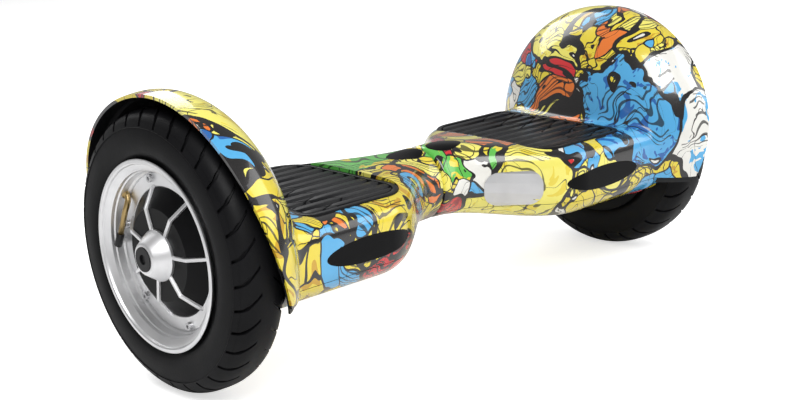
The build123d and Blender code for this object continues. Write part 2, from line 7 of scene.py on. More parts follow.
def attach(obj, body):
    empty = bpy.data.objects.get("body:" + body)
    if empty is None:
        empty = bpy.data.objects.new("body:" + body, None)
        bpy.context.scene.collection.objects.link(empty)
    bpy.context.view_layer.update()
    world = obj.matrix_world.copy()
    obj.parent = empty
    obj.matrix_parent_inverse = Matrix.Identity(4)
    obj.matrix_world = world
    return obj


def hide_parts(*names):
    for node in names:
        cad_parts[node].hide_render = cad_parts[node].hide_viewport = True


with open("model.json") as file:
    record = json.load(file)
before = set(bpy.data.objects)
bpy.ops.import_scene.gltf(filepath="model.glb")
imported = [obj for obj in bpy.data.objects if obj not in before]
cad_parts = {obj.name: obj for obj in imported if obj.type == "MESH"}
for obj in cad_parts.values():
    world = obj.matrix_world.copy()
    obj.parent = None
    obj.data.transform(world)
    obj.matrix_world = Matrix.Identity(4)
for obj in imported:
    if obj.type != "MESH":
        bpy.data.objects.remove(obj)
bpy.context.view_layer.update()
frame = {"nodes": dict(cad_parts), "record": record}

MM = 0.001

# ---- sizes of the board, in millimetres, as the frame has them -----------------------
AXIS_Z = 127.0
WHEEL_X = 292.0
TYRE_R = 127.0
TYRE_HALF_W = 25.9
HALF_SEAM = 0.6
WAIST_R = 37.0
BODY_HALF_W = 106.0
BULGE_Z = 118.0
DECK_Z = 155.0
BELLY_Z = 73.0
FLARE_START, FLARE_END = 10.0, 135.0
BODY_END = 258.0
WALL = 3.0
PARTING_Z, PARTING_GAP = 98.0, 0.5
FENDER_R, FENDER_DEPTH = 142.0, 72.0
FENDER_LIP_X, FENDER_LIP_R = 309.5, 134.5
MAT_IN_X, MAT_OUT_X, MAT_HALF_W = 89.0, 214.0, 86.0
MAT_IN_CORNER, MAT_OUT_CORNER = 34.0, 14.0
MAT_LOW_Z, MAT_TOP_Z, MAT_GAP = 150.0, 154.5, 0.5
RIM_LIP_X, RIM_LIP_R, RIM_SEAT_R = 319.2, 86.0, 77.0
RIBS = 7
SCREW_PLACES = [(108.0, 50.0), (160.0, 80.0), (200.0, 79.0)]
CONTROL_HOLES = [(-140.0, 10.1), (-179.0, 9.6)]     # power switch and charge port
SIDES = {"left": -1, "right": 1}


# ---- mesh helpers ---------------------------------------------------------------------
def make_mesh(name, points, faces, smooth=True):
    """A mesh object from points in millimetres."""
    mesh = bpy.data.meshes.new(name)
    mesh.from_pydata([(x * MM, y * MM, z * MM) for x, y, z in points], [], faces)
    mesh.validate()
    obj = bpy.data.objects.new(name, mesh)
    bpy.context.scene.collection.objects.link(obj)
    for polygon in mesh.polygons:
        polygon.use_smooth = smooth
    return obj


def grid_faces(rows, columns, closed_rows=False, closed_columns=True):
    faces = []
    for i in range(rows if closed_rows else rows - 1):
        for j in range(columns if closed_columns else columns - 1):
            a, b = i * columns + j, i * columns + (j + 1) % columns
            k = ((i + 1) % rows) * columns
            faces.append((a, b, k + (j + 1) % columns, k + j))
    return faces


def bar_faces(rows):
    """Faces of a closed bar with four corners in each row."""
    last = 4 * (rows - 1)
    return grid_faces(rows, 4) + [(0, 1, 2, 3), (last, last + 1, last + 2, last + 3)]


def turned(name, outline, steps=160, closed=True):
    """A ring turned about the wheel axis from a closed (x, radius) outline."""
    points = []
    for k in range(steps):
        t = 2 * math.pi * k / steps
        points += [(x, r * math.cos(t), AXIS_Z + r * math.sin(t)) for x, r in outline]
    obj = make_mesh(name, points, grid_faces(steps, len(outline), True, closed))
    outwards(obj)
    return obj


def outwards(obj):
    """Merges doubles and points every face outwards."""
    import bmesh
    bm = bmesh.new()
    bm.from_mesh(obj.data)
    bmesh.ops.remove_doubles(bm, verts=bm.verts, dist=1e-6)
    bmesh.ops.recalc_face_normals(bm, faces=bm.faces)
    bm.to_mesh(obj.data)
    bm.free()


def baked(obj):
    """Applies the live modifiers by taking the evaluated mesh."""
    graph = bpy.context.evaluated_depsgraph_get()
    mesh = bpy.data.meshes.new_from_object(obj.evaluated_get(graph))
    old = obj.data
    obj.modifiers.clear()
    obj.data = mesh
    bpy.data.meshes.remove(old)
    return obj


def cut(obj, other, operation="DIFFERENCE", keep=False):
    modifier = obj.modifiers.new("cut", "BOOLEAN")
    modifier.operation = operation
    modifier.solver = "MANIFOLD"
    modifier.object = other
    baked(obj)
    if not keep:
        bpy.data.objects.remove(other)
    return obj


def mirrored(obj, name):
    """A copy mirrored to the other side, with its faces turned the right way."""
    copy = bpy.data.objects.new(name, obj.data.copy())
    bpy.context.scene.collection.objects.link(copy)
    copy.data.transform(Matrix.Diagonal((-1, 1, 1, 1)))
    copy.data.flip_normals()
    return copy


def turned_over(obj, name):
    """The object mirrored to the other side, in place of the original."""
    copy = mirrored(obj, name)
    bpy.data.objects.remove(obj)
    return copy


def sharpen(obj, degrees=32):
    for polygon in obj.data.polygons:
        polygon.use_smooth = True
    obj.data.set_sharp_from_angle(angle=math.radians(degrees))


def prism(name, outline, z0, z1):
    """A bar along Z from a closed (x, y) outline."""
    n = len(outline)
    points = [(x, y, z0) for x, y in outline] + [(x, y, z1) for x, y in outline]
    faces = [tuple(range(n)), tuple(range(n, 2 * n))]
    faces += [(i, (i + 1) % n, n + (i + 1) % n, n + i) for i in range(n)]
    obj = make_mesh(name, points, faces, False)
    outwards(obj)
    return obj


def slab(z0, z1):
    return prism("slab", [(-400, -400), (400, -400), (400, 400), (-400, 400)], z0, z1)


def turn_bar(name, x0, x1, radius, y=0.0, z=AXIS_Z, steps=48):
    """A solid bar along X."""
    ring = [(radius * math.cos(2 * math.pi * k / steps), radius * math.sin(2 * math.pi * k / steps))
            for k in range(steps)]
    points = [(x0, y + a, z + b) for a, b in ring] + [(x1, y + a, z + b) for a, b in ring]
    faces = [tuple(range(steps)), tuple(range(steps, 2 * steps))]
    faces += [(i, (i + 1) % steps, steps + (i + 1) % steps, steps + i) for i in range(steps)]
    obj = make_mesh(name, points, faces)
    outwards(obj)
    return obj


def cross_bar(name, x, z, y0, y1, radius, steps=64):
    """A solid bar along Y."""
    bar = prism(name, circle(0, 0, radius, steps), y0, y1)
    bar.data.transform(Matrix.Translation((x * MM, 0, z * MM)) @ Matrix.Rotation(-math.pi / 2, 4, "X"))
    return bar


# ---- shader helpers --------------------------------------------------------------------
class Value:
    """A number socket that adds Math nodes when it is used in an expression."""

    def __init__(self, shader, socket):
        self.shader, self.socket = shader, socket

    def _math(self, operation, *inputs):
        return self.shader.add("ShaderNodeMath", {"operation": operation}, dict(enumerate(inputs)))

    def __add__(self, other):
        return self._math("ADD", self, other)

    def __radd__(self, other):
        return self._math("ADD", other, self)

    def __sub__(self, other):
        return self._math("SUBTRACT", self, other)

    def __rsub__(self, other):
        return self._math("SUBTRACT", other, self)

    def __mul__(self, other):
        return self._math("MULTIPLY", self, other)

    def __rmul__(self, other):
        return self._math("MULTIPLY", other, self)

    def __lt__(self, other):
        return self._math("LESS_THAN", self, other)

    def __gt__(self, other):
        return self._math("GREATER_THAN", self, other)


class Shader:
    """One material and its nodes."""

    def __init__(self, name, **settings):
        self.material = bpy.data.materials.new(name)
        self.material.use_nodes = True
        self.tree = self.material.node_tree
        self.skin = self.tree.nodes["Principled BSDF"]
        for socket, value in settings.items():
            self.skin.inputs[socket.replace("_", " ")].default_value = value

    def add(self, kind, settings=None, inputs=None, out=0):
        node = self.tree.nodes.new(kind)
        for key, value in (settings or {}).items():
            if key == "stops":
                self._ramp(node.color_ramp, value)
            else:
                setattr(node, key, value)
        for key, value in (inputs or {}).items():
            if isinstance(value, Value):
                self.tree.links.new(value.socket, node.inputs[key])
            else:
                node.inputs[key].default_value = value
        return Value(self, node.outputs[out])

    def _ramp(self, ramp, stops):
        while len(ramp.elements) > 1:
            ramp.elements.remove(ramp.elements[-1])
        ramp.elements[0].position, ramp.elements[0].color = stops[0]
        for place, colour in stops[1:]:
            ramp.elements.new(place).color = colour

    def place(self):
        return self.add("ShaderNodeTexCoord", out=3)

    def noise(self, scale, detail=3.0, vector=None, out=0):
        return self.add("ShaderNodeTexNoise", {}, {"Vector": vector or self.place(), "Scale": scale,
                                                   "Detail": detail}, out=out)

    def ramp(self, value, *stops, interpolation="LINEAR"):
        result = self.add("ShaderNodeValToRGB", {"stops": stops}, {0: value})
        result.socket.node.color_ramp.interpolation = interpolation
        return result

    def mix(self, factor, a, b):
        return self.add("ShaderNodeMix", {"data_type": "RGBA"}, {0: factor, 6: a, 7: b}, out=2)

    def bump(self, height, strength=0.3, distance=0.0005):
        self.feed("Normal", self.add("ShaderNodeBump", {}, {"Strength": strength, "Distance": distance,
                                                            "Height": height}))

    def feed(self, socket, value):
        self.tree.links.new(value.socket, self.skin.inputs[socket])


def grey(level, alpha=1.0):
    return (level, level, level, alpha)


# ---- materials ----------------------------------------------------------------------------
def comic_print():
    """Glossy lacquered print: curled patches of bright flat colour with thin inked outlines."""
    s = Shader("comic_print", Roughness=0.24, Coat_Weight=0.8, Coat_Roughness=0.04)
    place = s.place()

    def warp(vector, scale, reach):
        swirl = s.noise(scale, 1.0, vector, out=1)
        return s.add("ShaderNodeVectorMath", {"operation": "MULTIPLY_ADD"},
                     {0: swirl, 1: (reach,) * 3, 2: vector})

    curled = warp(warp(place, 11.0, 0.11), 34.0, 0.03)

    def patches(scale, vector=curled):
        """Distance from the middle, two chances per patch, and distance from its edge."""
        near = s.add("ShaderNodeTexVoronoi", {}, {"Vector": vector, "Scale": scale})
        chances = s.add("ShaderNodeSeparateColor", {}, {0: Value(s, near.socket.node.outputs[1])})
        edge = s.add("ShaderNodeTexVoronoi", {"feature": "DISTANCE_TO_EDGE"},
                     {"Vector": vector, "Scale": scale})
        return near, chances, Value(s, chances.socket.node.outputs[1]), edge

    yellow, lemon, gold = (0.82, 0.66, 0.05, 1), (0.9, 0.82, 0.16, 1), (0.62, 0.36, 0.02, 1)
    blue, deep_blue = (0.09, 0.42, 0.76, 1), (0.02, 0.13, 0.42, 1)
    red, maroon, orange = (0.66, 0.03, 0.035, 1), (0.3, 0.01, 0.02, 1), (0.82, 0.2, 0.03, 1)
    white, green, ink = (0.84, 0.83, 0.78, 1), (0.12, 0.52, 0.08, 1), (0.01, 0.009, 0.009, 1)
    flat = {"interpolation": "CONSTANT"}
    _, big, big_two, heavy = patches(11.0)
    base = s.ramp(big, (0.0, yellow), (0.3, blue), (0.47, yellow), (0.6, red), (0.74, lemon), (0.84, white),
                  (0.95, green), **flat)
    shade = s.ramp(big, (0.0, gold), (0.3, deep_blue), (0.47, gold), (0.6, maroon), (0.74, yellow),
                   (0.84, red),
                   (0.9, blue), (0.95, yellow), **flat)
    # a darker tone of the same patch on one side of each stroke
    strokes = s.noise(58.0, 2.0, curled)
    colour = s.mix(strokes > 0.58, base, shade)
    # smaller shapes over about half of the large ones
    middle, small, small_two, fine = patches(33.0)
    details = s.ramp(small, (0.0, yellow), (0.22, white), (0.34, lemon), (0.5, red), (0.6, blue),
                     (0.72, ink),
                     (0.79, orange), (0.86, yellow), **flat)
    colour = s.mix((big_two > 0.48) * (small_two > 0.3), colour, details)
    # parallel hatching in some of the small shapes
    hatch = s.add("ShaderNodeTexWave", {"bands_direction": "DIAGONAL"},
                  {"Vector": curled, "Scale": 62.0, "Distortion": 1.5, "Detail": 1.0})
    colour = s.mix((hatch > 0.8) * (small_two > 0.55) * 0.85, colour, ink)
    # long curling pen strokes, then the outlines
    pen = s.noise(21.0, 1.0, curled)
    colour = s.mix((pen > 0.5) * (pen < 0.507), colour, ink)
    colour = s.mix((pen > 0.6) * (pen < 0.605), colour, ink)
    colour = s.mix((middle < 0.24) * (small_two < 0.2), colour, ink)
    colour = s.mix((middle < 0.12) * (small_two < 0.2), colour, white)
    colour = s.mix((fine < 0.035) * (big_two > 0.4), colour, ink)
    colour = s.mix(heavy < 0.03, colour, ink)
    s.feed("Base Color", colour)
    s.bump(s.noise(260.0, 1.0, place), 0.03, 0.0002)
    return s.material


def moulded(name, colour, roughness, grain=900.0, strength=0.25, **settings):
    """Moulded plastic or rubber with a fine grain and slight wear."""
    s = Shader(name, Roughness=roughness, **settings)
    place = s.place()
    cloud = s.noise(14.0, 4.0, place)
    lighter = tuple(min(1.0, c * 1.35 + 0.002) for c in colour[:3]) + (1,)
    s.feed("Base Color", s.ramp(cloud, (0.35, colour), (0.7, lighter)))
    s.feed("Roughness", s.noise(60.0, 3.0, place) * 0.16 + (roughness - 0.08))
    s.bump(s.noise(grain, 2.0, place), strength, 0.0002)
    return s.material


def metal(name, colour, roughness, streak=(40.0, 900.0, 900.0), strength=0.08, **settings):
    """Machined metal with fine tool marks."""
    s = Shader(name, Metallic=1.0, Roughness=roughness, **settings)
    place = s.place()
    stretched = s.add("ShaderNodeMapping", {}, {"Vector": place, "Scale": streak})
    marks = s.noise(1.0, 3.0, stretched)
    darker = tuple(c * 0.82 for c in colour[:3]) + (1,)
    s.feed("Base Color", s.ramp(s.noise(22.0, 3.0, place), (0.3, darker), (0.65, colour)))
    s.feed("Roughness", marks * 0.18 + (roughness - 0.09))
    s.bump(marks, strength, 0.0001)
    return s.material


def gloss(name, colour, roughness=0.06, **settings):
    """Smoked clear plastic with faint polishing haze."""
    s = Shader(name, Roughness=roughness, Coat_Weight=0.12, Coat_Roughness=0.05, **settings)
    haze = s.noise(30.0, 4.0)
    s.feed("Base Color", s.ramp(haze, (0.3, colour), (0.8, tuple(c + 0.002 for c in colour[:3]) + (1,))))
    s.feed("Roughness", haze * 0.08 + roughness)
    return s.material


def board_green():
    s = Shader("board_green", Roughness=0.4)
    tracks = s.add("ShaderNodeTexVoronoi", {"distance": "MANHATTAN"}, {"Vector": s.place(), "Scale": 180.0})
    s.feed("Base Color", s.mix(tracks < 0.3, (0.01, 0.09, 0.03, 1), (0.03, 0.22, 0.08, 1)))
    return s.material


MATERIALS = {
    "printed_shell": comic_print(),
    "black_plastic": moulded("black_plastic", (0.007, 0.007, 0.008, 1), 0.45,
                             Specular_IOR_Level=0.35),
    "gloss_black_lens": gloss("smoked_lens", (0.002, 0.002, 0.0025, 1), 0.16, Specular_IOR_Level=0.06),
    "mat_rubber": moulded("mat_rubber", (0.007, 0.0073, 0.0085, 1), 0.4, 700.0, 0.3,
                          Specular_IOR_Level=0.2),
    "tyre_rubber": moulded("tyre_rubber", (0.0045, 0.0045, 0.0052, 1), 0.44, 500.0, 0.35,
                           Specular_IOR_Level=0.12),
    "machined_aluminium": metal("machined_aluminium", (0.93, 0.93, 0.94, 1), 0.42),
    "cast_aluminium": metal("cast_aluminium", (0.6, 0.6, 0.62, 1), 0.42, (300.0, 300.0, 300.0), 0.3),
    "black_painted_metal": moulded("black_paint", (0.003, 0.003, 0.0035, 1), 0.35, 400.0, 0.12,
                                   Specular_IOR_Level=0.12),
    "black_steel": metal("black_steel", (0.08, 0.08, 0.085, 1), 0.35),
    "steel": metal("steel", (0.62, 0.62, 0.63, 1), 0.28),
    "laminated_steel": metal("laminated_steel", (0.32, 0.28, 0.24, 1), 0.45, (2500.0, 20.0, 20.0), 0.4),
    "magnet_steel": metal("magnet_steel", (0.68, 0.68, 0.7, 1), 0.2),
    "valve_brass": metal("valve_brass", (0.5, 0.36, 0.16, 1), 0.35),
    "bush_bronze": metal("bush_bronze", (0.55, 0.36, 0.18, 1), 0.4),
    "circuit_board": board_green(),
    "wire_sleeve": moulded("wire_sleeve", (0.015, 0.015, 0.015, 1), 0.6),
    "battery_wrap": moulded("battery_wrap", (0.02, 0.09, 0.32, 1), 0.3),
    "badge_metal": metal("badge_metal", (0.66, 0.66, 0.67, 1), 0.32, (900.0, 40.0, 900.0)),
}


def finish_piece(obj, body, slot, *nodes, extra=()):
    chosen = [polygon.material_index for polygon in obj.data.polygons] if extra else []
    obj.data.materials.clear()
    for name in (slot,) + tuple(extra):
        obj.data.materials.append(MATERIALS[name])
    if chosen:
        obj.data.polygons.foreach_set("material_index", chosen)
    if nodes:
        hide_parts(*nodes)
    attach(obj, body)


# ---- body shell ------------------------------------------------------------------------------
def flare(x):
    s = min(max((x - FLARE_START) / (FLARE_END - FLARE_START), 0.0), 1.0)
    return s * s * (3 - 2 * s)


def half_width(x):
    return WAIST_R + (BODY_HALF_W - WAIST_R) * flare(x)


def section(x, inset, count=128):
    f = flare(x)
    middle = AXIS_Z + (BULGE_Z - AXIS_Z) * f
    top = AXIS_Z + WAIST_R + (DECK_Z - AXIS_Z - WAIST_R) * f
    bottom = AXIS_Z - WAIST_R + (BELLY_Z - AXIS_Z + WAIST_R) * f
    points = []
    for step in range(count):
        angle = 2 * math.pi * step / count
        c, s = math.cos(angle), math.sin(angle)
        power = 2 + (4 if s > 0 else 1.2) * f
        reach = (abs(c) ** power + abs(s) ** power) ** (-1 / power)
        height = (top - middle if s > 0 else middle - bottom) - inset
        points.append((x, (half_width(x) - inset) * reach * c, middle + height * reach * s))
    return points


def body_form(name, inset, x0, x1, rows=90, count=128):
    points = []
    for k in range(rows):
        points += section(x0 + (x1 - x0) * k / (rows - 1), inset, count)
    faces = grid_faces(rows, count)
    faces += [tuple(range(count)), tuple(range((rows - 1) * count, rows * count))]
    obj = make_mesh(name, points, faces)
    outwards(obj)
    return obj


def fender_form(name, inset, end_x, steps=200):
    """The crowned drum as a closed solid."""
    deep, high = FENDER_DEPTH - inset, FENDER_R - inset
    outline = [(WHEEL_X - deep * math.sin(t), high * math.cos(t))
               for t in [math.pi / 2 * (1 - k / 40) for k in range(1, 41)]]
    drop = FENDER_R - FENDER_LIP_R
    for k in range(1, 13):
        u = k / 12
        outline.append((WHEEL_X + (min(end_x, 330) - WHEEL_X) * u, high - drop * u ** 1.8))
    points = [(WHEEL_X - deep, 0, AXIS_Z)]
    count = len(outline)
    for k in range(steps):
        t = 2 * math.pi * k / steps
        points += [(x, r * math.cos(t), AXIS_Z + r * math.sin(t)) for x, r in outline]
    faces = []
    for k in range(steps):
        a, b = 1 + k * count, 1 + ((k + 1) % steps) * count
        faces.append((0, a, b))
        faces += [(a + i, a + i + 1, b + i + 1, b + i) for i in range(count - 1)]
    faces.append(tuple(1 + k * count + count - 1 for k in range(steps)))
    obj = make_mesh(name, points, faces)
    outwards(obj)
    return obj


def arc_through(a, b, c, count):
    """Points on the circle through three (x, z) points, from a to c."""
    ax, ay, bx, by, cx, cy = *a, *b, *c
    d = 2 * (ax * (by - cy) + bx * (cy - ay) + cx * (ay - by))
    aa, bb, cc = ax * ax + ay * ay, bx * bx + by * by, cx * cx + cy * cy
    ux = (aa * (by - cy) + bb * (cy - ay) + cc * (ay - by)) / d
    uy = (aa * (cx - bx) + bb * (ax - cx) + cc * (bx - ax)) / d
    radius = math.hypot(ax - ux, ay - uy)
    t0, t1 = math.atan2(ay - uy, ax - ux), math.atan2(cy - uy, cx - ux)
    angles = [t0 + (t1 - t0) * k / count for k in range(count + 1)]
    return [(ux + radius * math.cos(t), uy + radius * math.sin(t)) for t in angles]


def lip_trim():
    """The space outboard of the fender's slanted edge."""
    high, low = AXIS_Z + FENDER_R, AXIS_Z - FENDER_R
    edge = arc_through((270.0, PARTING_Z - 15), (299.0, 181.0), (FENDER_LIP_X, high + 5), 60)
    outline = edge + [(400.0, high + 5), (400.0, low), (270.0, low)]
    n = len(outline)
    points = [(x, -200, z) for x, z in outline] + [(x, 200, z) for x, z in outline]
    faces = [tuple(range(n)), tuple(range(n, 2 * n))]
    faces += [(i, (i + 1) % n, n + (i + 1) % n, n + i) for i in range(n)]
    obj = make_mesh("trim", points, faces, False)
    outwards(obj)
    return obj


def rounded_outline(grow, steps=12):
    """The foot mat's outline seen from above."""
    x0, x1, y = MAT_IN_X - grow, MAT_OUT_X + grow, MAT_HALF_W + grow
    outline = []
    for cx, cy, radius, start in ((x1, y, MAT_OUT_CORNER + grow, 0), (x0, y, MAT_IN_CORNER + grow, 90),
                                  (x0, -y, MAT_IN_CORNER + grow, 180),
                                  (x1, -y, MAT_OUT_CORNER + grow, 270)):
        mx = cx - radius if cx == x1 else cx + radius
        my = cy - radius if cy > 0 else cy + radius
        for k in range(steps + 1):
            t = math.radians(start + 90 * k / steps)
            outline.append((mx + radius * math.cos(t), my + radius * math.sin(t)))
    return outline


def ellipse_cutter(centre, normal, along, long, high, reach, steps=64):
    n, a = Vector(normal).normalized(), Vector(along).normalized()
    b = n.cross(a)
    angles = [2 * math.pi * k / steps for k in range(steps)]
    ring = [a * (long / 2 * math.cos(t)) + b * (high / 2 * math.sin(t)) for t in angles]
    c = Vector(centre)
    points = [tuple(c - n * reach + p) for p in ring] + [tuple(c + n * reach + p) for p in ring]
    faces = [tuple(range(steps)), tuple(range(steps, 2 * steps))]
    faces += [(i, (i + 1) % steps, steps + (i + 1) % steps, steps + i) for i in range(steps)]
    obj = make_mesh("ellipse", points, faces, False)
    outwards(obj)
    return obj


LEAN = math.radians(12)
HEADLIGHT = ((161.0, -BODY_HALF_W, BULGE_Z), (0, -1, 0), (1, 0, 0), 102.0, 23.0, 12.0)
STATUS = ((26.5, -WAIST_R * math.sin(LEAN), AXIS_Z + WAIST_R * math.cos(LEAN)),
          (0, -math.sin(LEAN), math.cos(LEAN)), (1, 0, 0), 43.0, 25.0, 9.0)


def lens_cutter(which, grow):
    centre, normal, along, long, high, reach = which
    return ellipse_cutter(centre, normal, along, long + 2 * grow, high + 2 * grow, reach)


def outer_skin():
    """Deck, waist and fender as one blended form."""
    skin = body_form("skin", 0, HALF_SEAM, BODY_END)
    cut(skin, fender_form("drum", 0, 330), "UNION")
    remesh = skin.modifiers.new("remesh", "REMESH")
    remesh.mode = "VOXEL"
    remesh.voxel_size = 2.4 * MM
    smooth = skin.modifiers.new("smooth", "SMOOTH")
    smooth.factor = 0.5
    smooth.iterations = 14
    baked(skin)
    return skin


def build_shells():
    skin = outer_skin()
    hollow = body_form("hollow", WALL, HALF_SEAM + WALL, BODY_END - WALL)
    cut(hollow, prism("tray", rounded_outline(2.9), 145.7, 200))
    cut(skin, hollow)
    cut(skin, prism("pocket", rounded_outline(MAT_GAP), 148.2, 220))
    cut(skin, turn_bar("tube", -5, 10, 18.5))
    cut(skin, turn_bar("axle_way", 200, 300, 11.0))
    bottom = skin.copy()
    bottom.data = skin.data.copy()
    bpy.context.scene.collection.objects.link(bottom)
    cut(bottom, slab(0, PARTING_Z - PARTING_GAP / 2), "INTERSECT")
    cut(bottom, body_form("outer", -1.0, HALF_SEAM - 1, BODY_END + 0.4), "INTERSECT")
    spots = [(x, side * y) for x, y in SCREW_PLACES for side in (-1, 1)]
    bosses = joined("bosses", [prism("boss", circle(x, y, 6.0), 60, 118.9) for x, y in spots])
    cut(bosses, body_form("limit", 1.2, HALF_SEAM + 2, BODY_END - 2), "INTERSECT")
    cut(bottom, bosses, "UNION")
    cut(bottom, joined("wells", [prism("well", circle(x, y, 4.2), 40, 108) for x, y in spots]))
    top = skin
    cut(top, fender_form("arch", WALL, 420))
    cut(top, slab(PARTING_Z + PARTING_GAP / 2, 400), "INTERSECT")
    cut(top, lip_trim())
    for which in (HEADLIGHT, STATUS):
        for shell in (top, bottom):
            cut(shell, lens_cutter(which, 0.2))
    return top, bottom


def mark_inside(shell):
    """Faces that look into the hollow or the wheel arch take the second material."""
    inside_x = (WHEEL_X - FENDER_DEPTH) * MM
    for polygon in shell.data.polygons:
        centre, normal = polygon.center, polygon.normal
        from_axis = Vector((0, centre.y, centre.z - AXIS_Z * MM))
        middle = Vector((0, 0, (AXIS_Z + (BULGE_Z - AXIS_Z) * flare(abs(centre.x) / MM)) * MM))
        radius = from_axis.length / MM
        arch = (centre.x > inside_x and radius < FENDER_R - 1.2
                and normal.dot(from_axis) < -0.3 * from_axis.length)
        if centre.x > (BODY_END - 30) * MM:
            drum = Vector(((centre.x - WHEEL_X * MM) * 1.9, centre.y, centre.z - AXIS_Z * MM))
            arch = arch or normal.dot(drum) < -0.2 * drum.length
        across = Vector((0, centre.y, centre.z)) - middle
        hollow = centre.x < (BODY_END - 10) * MM and normal.dot(across) < -0.25 * across.length
        polygon.material_index = 1 if arch or hollow else 0


def circle(x, y, radius, steps=40):
    return [(x + radius * math.cos(2 * math.pi * k / steps), y + radius * math.sin(2 * math.pi * k / steps))
            for k in range(steps)]


def build_lens(name, which, proud):
    """A lens that follows the shell, standing slightly proud with a rounded rim."""
    lens = body_form(name, -proud, HALF_SEAM, BODY_END - 20, rows=240, count=400)
    cut(lens, body_form("back", 1.9, HALF_SEAM - 3, BODY_END))
    cut(lens, lens_cutter(which, 0), "INTERSECT")
    bevel = lens.modifiers.new("bevel", "BEVEL")
    bevel.width = 0.5 * MM
    bevel.segments = 2
    bevel.limit_method = "ANGLE"
    bevel.angle_limit = math.radians(50)
    return baked(lens)


# ---- foot mat --------------------------------------------------------------------------------
def build_mat():
    """Flat border and raised ribs with diagonal cuts towards the wheel."""
    mat = prism("mat", rounded_outline(-0.2), MAT_LOW_Z, MAT_LOW_Z + 1.1)
    border = prism("border", rounded_outline(-0.2), MAT_LOW_Z + 0.5, MAT_TOP_Z)
    cut(border, prism("inside", rounded_outline(-5.0), 100, 200))
    cut(mat, border, "UNION")
    pitch = 2 * (MAT_HALF_W - 5) / 10
    window = prism("window", rounded_outline(-6.5), 100, 200)
    ribs = None
    for k in range(10):
        y = -(MAT_HALF_W - 5) + pitch * (k + 0.5)
        x0, x1 = MAT_IN_X + 2, MAT_OUT_X - 2
        w, t = pitch * 0.34, pitch * 0.24
        points = [(x, y + a, z) for x in (x0, x1) for a, z in
                  ((-w, MAT_LOW_Z + 0.6), (w, MAT_LOW_Z + 0.6),
                   (t, MAT_TOP_Z - 0.1), (-t, MAT_TOP_Z - 0.1))]
        rib = make_mesh("rib", points, bar_faces(2), False)
        outwards(rib)
        ribs = rib if ribs is None else cut(ribs, rib, "UNION")
    cut(ribs, window, "INTERSECT")
    for lean in (-1, 1):
        for k in range(-1, 7):
            y = -MAT_HALF_W + 30 * k
            x0, x1 = MAT_OUT_X - 62, MAT_OUT_X - 8
            low, high = (y, y + 26) if lean > 0 else (y + 26, y)
            outline = [(x0, low), (x0 + 3.4, low), (x1 + 3.4, high), (x1, high)]
            cut(ribs, prism("slash", outline, MAT_TOP_Z - 3.2, MAT_TOP_Z + 5))
    cut(mat, ribs, "UNION")
    bevel = mat.modifiers.new("bevel", "BEVEL")
    bevel.width = 0.35 * MM
    bevel.segments = 2
    bevel.limit_method = "ANGLE"
    bevel.angle_limit = math.radians(40)
    return baked(mat)


# ---- wheel --------------------------------------------------------------------------------
SLOTS = 34


def tyre_slot():
    """One slanted slot of the tread, drawn at the top of the tyre."""
    path = ((6.0, 0.4, 0.0), (14.5, -1.4, -0.065), (21.0, -6.4, -0.11), (24.6, -13.0, -0.13))
    points = []
    for x, drop, turn in path:
        for deep, wide in ((-3.2, -1), (-3.2, 1), (6.0, 1), (6.0, -1)):
            angle, r = turn + wide * 0.013, TYRE_R + drop + deep
            across = WHEEL_X + x + (0.6 * deep if x > 20 else 0)
            points.append((across, r * math.sin(angle), r * math.cos(angle)))
    slot = make_mesh("slot", points, bar_faces(len(path)), False)
    outwards(slot)
    return slot


def ring_of(piece, count, name, start=0.0):
    """Copies of a piece round the wheel axis, made by geometry nodes and taken as a plain mesh."""
    tree = bpy.data.node_groups.new(name, "GeometryNodeTree")
    tree.interface.new_socket("Geometry", in_out="INPUT", socket_type="NodeSocketGeometry")
    number = tree.interface.new_socket("Count", in_out="INPUT", socket_type="NodeSocketInt")
    first = tree.interface.new_socket("First angle", in_out="INPUT", socket_type="NodeSocketFloat")
    dress_with = tree.interface.new_socket("Material", in_out="INPUT", socket_type="NodeSocketMaterial")
    tree.interface.new_socket("Geometry", in_out="OUTPUT", socket_type="NodeSocketGeometry")

    def node(kind, **settings):
        made = tree.nodes.new(kind)
        for key, value in settings.items():
            setattr(made, key, value)
        return made

    given, result = node("NodeGroupInput"), node("NodeGroupOutput")
    line, index = node("GeometryNodeMeshLine"), node("GeometryNodeInputIndex")
    share = node("ShaderNodeMath", operation="DIVIDE")
    angle = node("ShaderNodeMath", operation="MULTIPLY_ADD")
    turn, copies = node("ShaderNodeCombineXYZ"), node("GeometryNodeInstanceOnPoints")
    real, paint = node("GeometryNodeRealizeInstances"), node("GeometryNodeSetMaterial")
    line.inputs["Offset"].default_value = (0, 0, 0)
    share.inputs[0].default_value = 2 * math.pi
    for a, b in ((given.outputs["Count"], line.inputs["Count"]), (given.outputs["Count"], share.inputs[1]),
                 (index.outputs[0], angle.inputs[0]), (share.outputs[0], angle.inputs[1]),
                 (given.outputs["First angle"], angle.inputs[2]), (angle.outputs[0], turn.inputs["X"]),
                 (line.outputs[0], copies.inputs["Points"]),
                 (given.outputs["Geometry"], copies.inputs["Instance"]),
                 (turn.outputs[0], copies.inputs["Rotation"]), (copies.outputs[0], real.inputs[0]),
                 (real.outputs[0], paint.inputs["Geometry"]),
                 (given.outputs["Material"], paint.inputs["Material"]),
                 (paint.outputs[0], result.inputs[0])):
        tree.links.new(a, b)
    repeat = piece.modifiers.new("repeat", "NODES")
    repeat.node_group = tree
    repeat[number.identifier] = count
    repeat[first.identifier] = start
    repeat[dress_with.identifier] = MATERIALS["tyre_rubber"]
    baked(piece)
    piece.name = name
    piece.data.materials.clear()
    piece.data.transform(Matrix.Translation((0, 0, AXIS_Z * MM)))
    return piece


